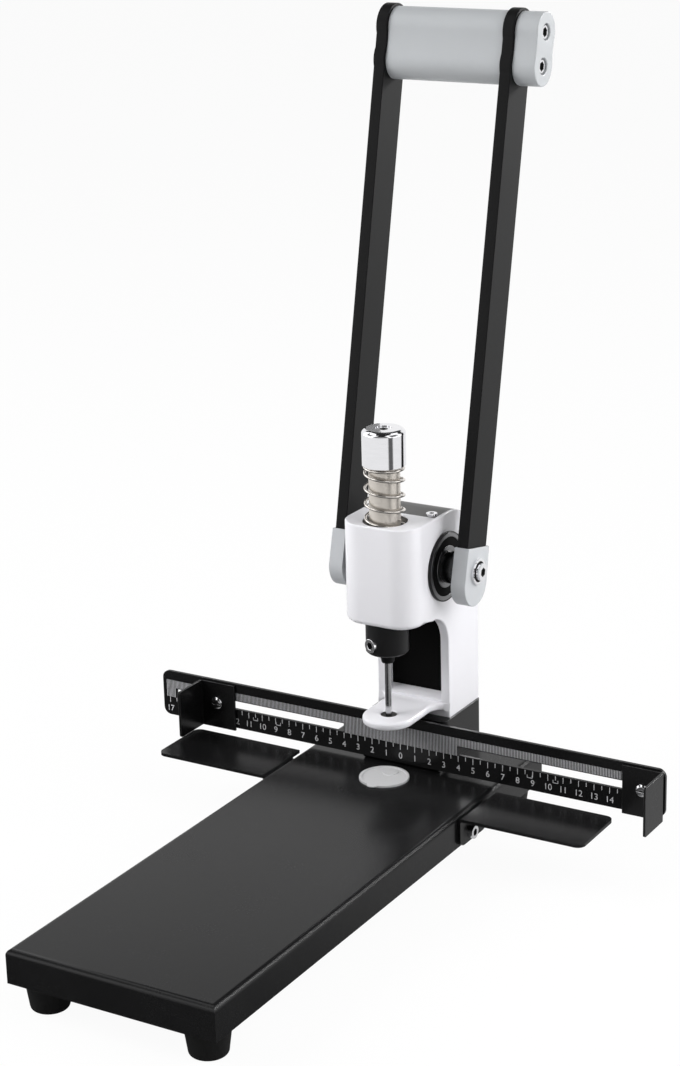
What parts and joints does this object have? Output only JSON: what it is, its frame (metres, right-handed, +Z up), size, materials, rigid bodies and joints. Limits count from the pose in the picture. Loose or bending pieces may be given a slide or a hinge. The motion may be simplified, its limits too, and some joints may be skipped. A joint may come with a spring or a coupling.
{
  "type": "single hole punch",
  "caption": "Desk hole punch: a loop lever drives a rack spindle with a hollow bit through paper against a ruled fence, on a long flat base with side wings and sliding stops.",
  "frame": {"origin": "centre of the footprint on the table that the feet stand on", "axes": "+X along the fence to the right of a user who faces it, +Y away from the user, +Z up"},
  "size_m": [0.35, 0.3978, 0.487],
  "materials": {
    "black_coat": "satin",
    "black_parts": "satin",
    "rubber": "matte",
    "white_coat": "gloss",
    "cover_metal": "satin",
    "chrome": "polished",
    "steel": "satin",
    "bronze": "satin",
    "grey_plastic": "satin",
    "white_plastic": "satin"
  },
  "bodies": {
    "frame": {"base_plate": "black_coat", "rubber_feet": "rubber", "foot_screws": "steel", "pedestal": "black_coat", "frame_bolts": "steel", "column_frame": "white_coat", "throat_panel": "black_parts", "head_cover": "cover_metal", "cover_screws": "chrome", "spindle_bush": "bronze", "pad_cup": "steel", "bearing_outer_rings": "steel", "bearing_seals": "rubber", "bearing_covers": "black_parts", "fence": "black_coat", "left_wing": "black_coat", "right_wing": "black_coat", "wing_screws": "chrome", "return_spring": "steel"},
    "punch": {"spindle": "steel", "spindle_knob": "chrome", "knob_screw": "chrome", "chuck": "black_coat", "chuck_set_screw": "chrome", "punch_bit": "chrome"},
    "lever": {"lever_shaft": "steel", "drive_gear": "steel", "gear_key": "steel", "bearing_inner_rings": "steel", "lever_spacers": "black_parts", "left_hub": "grey_plastic", "right_hub": "grey_plastic", "pivot_washers": "chrome", "pivot_screws": "chrome", "left_arm": "black_coat", "right_arm": "black_coat", "hand_grip": "grey_plastic", "grip_end_cap": "grey_plastic", "grip_screws": "chrome"},
    "left_stop": {"left_stop": "black_coat", "left_stop_screw": "chrome", "left_stop_nut": "steel"},
    "right_stop": {"right_stop": "black_coat", "right_stop_screw": "chrome", "right_stop_nut": "steel"},
    "pad": {"cutting_pad": "white_plastic"}
  },
  "joints": [
    {"name": "lever_pull", "type": "hinge", "parent": "frame", "child": "lever", "pos_m": [0, 0.1207, 0.1658], "axis": [1, 0, 0], "range_deg": [0, 92.2]},
    {"name": "spindle_slide", "type": "slide", "parent": "frame", "child": "punch", "axis": [0, 0, -1], "range_m": [0, 0.0338], "stiffness_N_per_m": 1500, "springref_m": -0.025, "deforming": ["return_spring"]},
    {"name": "left_stop_slide", "type": "slide", "parent": "frame", "child": "left_stop", "axis": [1, 0, 0], "range_m": [-0.0295, 0.0895]},
    {"name": "right_stop_slide", "type": "slide", "parent": "frame", "child": "right_stop", "axis": [1, 0, 0], "range_m": [-0.1185, 0.0005]},
    {"name": "pad_turn", "type": "hinge", "parent": "frame", "child": "pad", "pos_m": [0, 0.0867, 0.037], "axis": [0, 0, 1], "continuous": true}
  ],
  "couplings": [
    {"joint": "spindle_slide", "follows": "lever_pull", "m_per_rad": 0.021}
  ]
}
